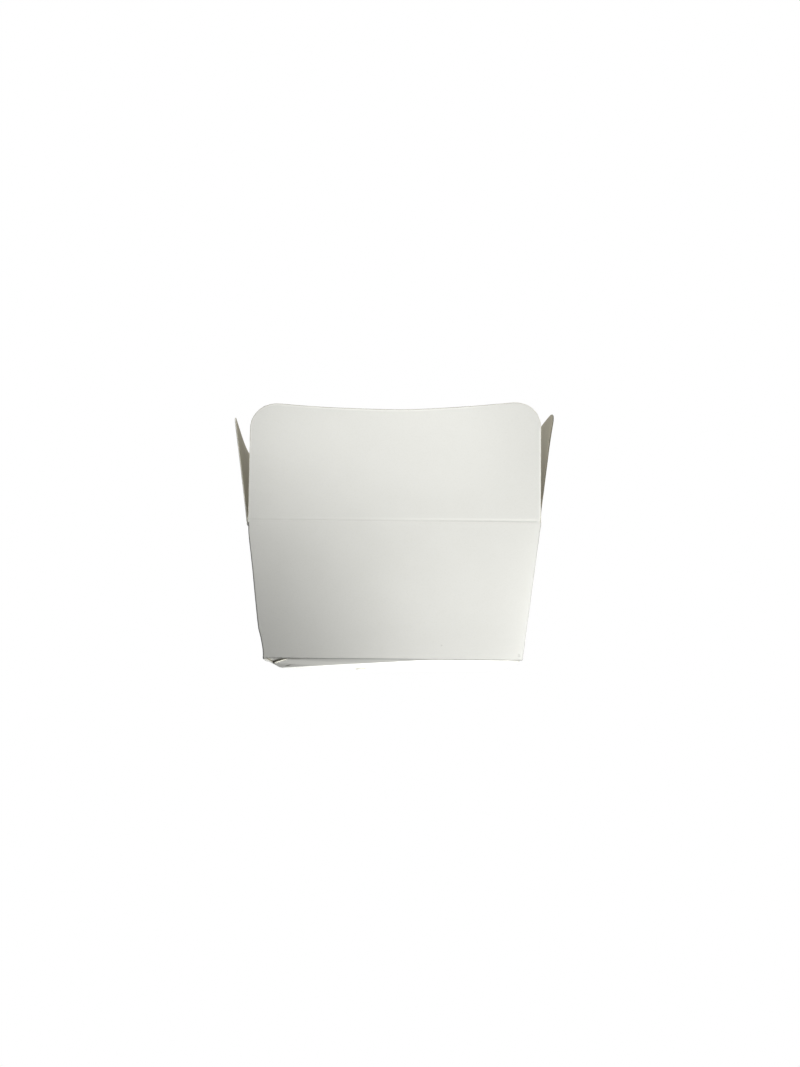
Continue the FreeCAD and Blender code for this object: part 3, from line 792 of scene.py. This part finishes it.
base_pieces = []
lock = [(-54.15, -2.6), (-43.9, -29.05), (18.5, -29.05), (-54.15, 21.2)]
for tag, pts in (("front_left", lock), ("rear_right", half_turn(lock))):
    outline = densify(rounded(pts, [0.4, 0.4, 0.8, 0.8]), 6.0)
    base_pieces.append(slab("base_lock_" + tag, outline, 0.0, T - 0.02, pressed if tag == "front_left" else level, OUT, INN))

zig = [(-54.1, -0.12), (-9.0, -0.12), (-6.2, 4.8), (-5.6, 5.1), (5.8, -4.9), (6.4, -4.9), (9.2, -0.12), (54.1, -0.12)]
front_major = [(-54.05, -1.1), (-43.25, -29.05), (54.05, -29.05)] + [(x, y) for x, y in reversed(zig)]
base_pieces.append(slab("base_panel_front", rounded(front_major, 0.3, 3), T, 2 * T, level, OUT, INN))
rear_major = [(x, y + 0.24) for x, y in zig] + [(54.05, 29.05), (-54.05, 29.05)]
base_pieces.append(slab("base_panel_rear", rounded(rear_major, 0.5, 3), T, 2 * T, level, OUT, INN))
minor = [(-54.25, -28.5), (-23.7, -22.1), (-23.7, 22.1), (-54.25, 28.5)]
for tag, pts in (("left", minor), ("right", half_turn(minor))):
    base_pieces.append(slab("base_minor_" + tag, densify(rounded(pts, [0.3, 2.5, 2.5, 0.3] if tag == "left" else [0.3, 2.5, 2.5, 0.3], 6), 6.0),
                            2 * T + 0.02, 3 * T + 0.02, level, OUT, INN))


# Glue seam: the rear wall's strip, turned in against the left wall.
def on_left_wall(u, s, n):
    p = PANELS["left"]
    return tuple(p.base + p.u * u + p.s * s + p.n * n)


def seam_u(s, inset):
    z = Z_SIDE + s * CO
    return half_d(z) - SKIN - inset


low_s, high_s = -(Z_SIDE - 3.0) / CO, -2.6
strip = [(seam_u(low_s, 0.05), low_s - 1.0), (seam_u(high_s, 0.05), high_s),
         (seam_u(high_s - 2.0, 12.0), high_s - 2.0), (seam_u(low_s + 2.0, 12.0), low_s + 2.0)]
base_pieces.append(slab("glue_strip", densify(rounded(strip, [0.1, 0.1, 1.2, 1.2]), 5.0),
                        -T / 2 - T - 0.01, -T / 2 - 0.01, on_left_wall, INN, OUT))
for piece in base_pieces:
    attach(piece, "tray")
    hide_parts("box_body")

# ------------------------------------------------------------------ stage
scene = bpy.context.scene
scene.view_settings.view_transform = "Standard"
scene.view_settings.look = "None"
scene.view_settings.exposure = 0.0
scene.view_settings.gamma = 1.0

world = bpy.data.worlds.new("studio")
scene.world = world
world.use_nodes = True
wt = world.node_tree
wt.nodes.clear()
w_out = wt.nodes.new("ShaderNodeOutputWorld")
seen = wt.nodes.new("ShaderNodeBackground")
seen.inputs["Color"].default_value = (1, 1, 1, 1)
seen.inputs["Strength"].default_value = 1.0
fill = wt.nodes.new("ShaderNodeBackground")
fill.inputs["Color"].default_value = (1.0, 1.0, 0.985, 1)
fill.inputs["Strength"].default_value = 0.03
path = wt.nodes.new("ShaderNodeLightPath")
pick = wt.nodes.new("ShaderNodeMixShader")
wt.links.new(path.outputs["Is Camera Ray"], pick.inputs["Fac"])
wt.links.new(fill.outputs[0], pick.inputs[1])
wt.links.new(seen.outputs[0], pick.inputs[2])
wt.links.new(pick.outputs[0], w_out.inputs["Surface"])

# Pale floor. The camera looks up from just under its level, so it is clear from below.
floor_me = bpy.data.meshes.new("floor")
fs = 1.6
floor_me.from_pydata([(-fs, -fs, 0), (fs, -fs, 0), (fs, fs, 0), (-fs, fs, 0)], [], [(0, 1, 2, 3)])
floor = bpy.data.objects.new("floor", floor_me)
scene.collection.objects.link(floor)
floor.location.z = -0.0005
fm = bpy.data.materials.new("floor_paper")
nt, bsdf = nodes_of(fm)
bsdf.inputs["Base Color"].default_value = (0.80, 0.80, 0.79, 1)
bsdf.inputs["Roughness"].default_value = 0.9
bsdf.inputs["Specular IOR Level"].default_value = 0.1
bsdf.inputs["Emission Color"].default_value = (1.0, 1.0, 0.99, 1)
bsdf.inputs["Emission Strength"].default_value = 0.36
clear = nt.nodes.new("ShaderNodeBsdfTransparent")
geo = nt.nodes.new("ShaderNodeNewGeometry")
sw = nt.nodes.new("ShaderNodeMixShader")
nt.links.new(geo.outputs["Backfacing"], sw.inputs["Fac"])
nt.links.new(bsdf.outputs[0], sw.inputs[1])
nt.links.new(clear.outputs[0], sw.inputs[2])
nt.links.new(sw.outputs[0], nt.nodes["Material Output"].inputs["Surface"])
floor_me.materials.append(fm)
floor.visible_diffuse = False
floor.visible_glossy = False
floor.visible_transmission = False
floor.visible_shadow = False


def area(name, loc, target, size, power, colour=(1, 1, 1)):
    ld = bpy.data.lights.new(name, "AREA")
    ld.shape = "DISK"
    ld.size = size
    ld.energy = power
    ld.color = colour
    ob = bpy.data.objects.new(name, ld)
    scene.collection.objects.link(ob)
    ob.location = loc
    ob.rotation_mode = "QUATERNION"
    ob.rotation_quaternion = (Vector(target) - Vector(loc)).to_track_quat("-Z", "Y")
    ob.visible_camera = False
    return ob


def spot(name, loc, target, half_angle, blend, power, size, colour=(1, 1, 1)):
    ld = bpy.data.lights.new(name, "SPOT")
    ld.spot_size = 2 * half_angle
    ld.spot_blend = blend
    ld.energy = power
    ld.shadow_soft_size = size
    ld.color = colour
    ob = bpy.data.objects.new(name, ld)
    scene.collection.objects.link(ob)
    ob.location = loc
    ob.rotation_mode = "QUATERNION"
    ob.rotation_quaternion = (Vector(target) - Vector(loc)).to_track_quat("-Z", "Y")
    ob.visible_camera = False
    return ob


def bulb(name, loc, power, size, colour=(1, 1, 1)):
    ld = bpy.data.lights.new(name, "POINT")
    ld.energy = power
    ld.shadow_soft_size = size
    ld.color = colour
    ob = bpy.data.objects.new(name, ld)
    scene.collection.objects.link(ob)
    ob.location = loc
    ob.visible_camera = False
    return ob


WARM = (1.0, 1.0, 0.975)
near_lights = [
    bulb("key_right", (0.1392, -0.0700, -0.0096), 0.458, 0.03, WARM),
    bulb("key_high", (0.0290, -0.1569, 0.1047), 0.337, 0.03, WARM),
    bulb("key_left", (-0.0539, -0.1194, 0.0959), 0.100, 0.03, WARM),
    bulb("key_low", (0.0156, -0.0921, 0.0025), 0.063, 0.03, WARM),
]
# They stand close to the box, so the floor is left out of their light and stays an even tone.
off_floor = bpy.data.collections.new("all_but_the_floor")
off_floor.objects.link(floor)
off_floor.collection_objects[0].light_linking.link_state = "EXCLUDE"
for ob in near_lights:
    ob.light_linking.receiver_collection = off_floor
area("back_left", (-0.30, 0.34, 0.20), (0, 0, 0.05), 0.25, 1.5)
area("back_right", (0.32, 0.32, 0.20), (0, 0, 0.05), 0.25, 1.15)
area("top", (0.0, 0.12, 0.60), (0, 0, 0.05), 0.4, 1.6)
bulb("under", (0.040, 0.030, -0.085), 0.42, 0.03, WARM)

# A second low light for the underside's rear right half; the glued front left part stays in half shade.
lower = bulb("under_right", (0.010, -0.020, -0.100), 0.75, 0.03, WARM)
lit = bpy.data.collections.new("lit_from_below")
for ob in base_pieces:
    if ob.name in ("base_lock_rear_right", "base_panel_front", "base_panel_rear", "base_minor_right"):
        lit.objects.link(ob)
lower.light_linking.receiver_collection = lit

# Low light that catches the cut edge of the glued part at the front left corner.
glint = spot("edge_glint", (-0.150, -0.075, -0.022), (-0.0490, -0.0160, 0.0000), math.radians(6.0), 0.4, 0.56, 0.004, WARM)
rim = bpy.data.collections.new("lit_at_the_corner")
for ob in base_pieces:
    if ob.name == "base_lock_front_left":
        rim.objects.link(ob)
glint.light_linking.receiver_collection = rim

cam_data = bpy.data.cameras.new("photo_camera")
cam_data.sensor_fit = "AUTO"
cam_data.sensor_width = 36.0
cam_data.lens = 801.6 / 1067 * 36.0
cam_data.clip_start = 0.01
cam_data.clip_end = 20.0
camera = bpy.data.objects.new("photo_camera", cam_data)
scene.collection.objects.link(camera)
right = Vector((0.99996482, -0.00475171, 0.00691259))
down = Vector((0.00784915, 0.23938317, -0.97089345))
forward = Vector((0.00295864, 0.97091355, 0.23941205))
m = Matrix(((right.x, -down.x, -forward.x), (right.y, -down.y, -forward.y), (right.z, -down.z, -forward.z)))
camera.matrix_world = Matrix.Translation((0.001558, -0.368848, -0.029261)) @ m.to_4x4()
scene.camera = camera
